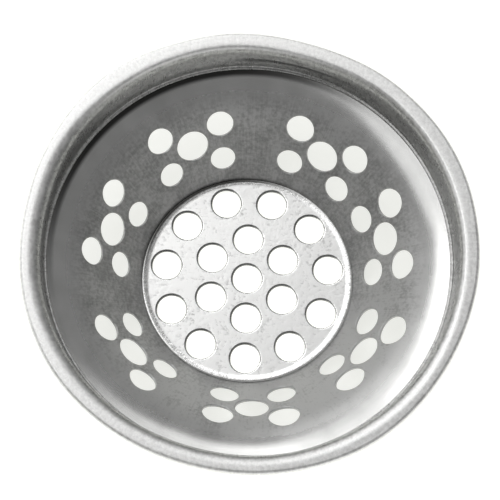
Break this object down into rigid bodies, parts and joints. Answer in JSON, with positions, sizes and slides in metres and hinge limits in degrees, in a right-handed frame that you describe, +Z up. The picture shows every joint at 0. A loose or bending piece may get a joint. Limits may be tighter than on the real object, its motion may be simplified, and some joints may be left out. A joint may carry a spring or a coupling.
{
  "type": "sink strainer",
  "caption": "Shallow round steel strainer cup with a curled rim, a sloping perforated wall and a flat perforated bottom, which hangs by its rim in a sink drain.",
  "frame": {"origin": "centre of the foot, on the surface that the strainer stands on", "axes": "+Z up along the strainer's axis, from the foot to the rim; -Y towards the viewer of the picture"},
  "size_m": [0.08, 0.08, 0.0234],
  "materials": {
    "rim_steel": "satin rolled stainless steel",
    "bowl_steel": "drawn stainless steel with fine lines down the wall",
    "plate_steel": "matte stainless steel sheet with small scuffs"
  },
  "bodies": {
    "root": {"rim_ring": "rim_steel", "strainer_bowl": "bowl_steel", "bottom_plate": "plate_steel"}
  },
  "joints": []
}
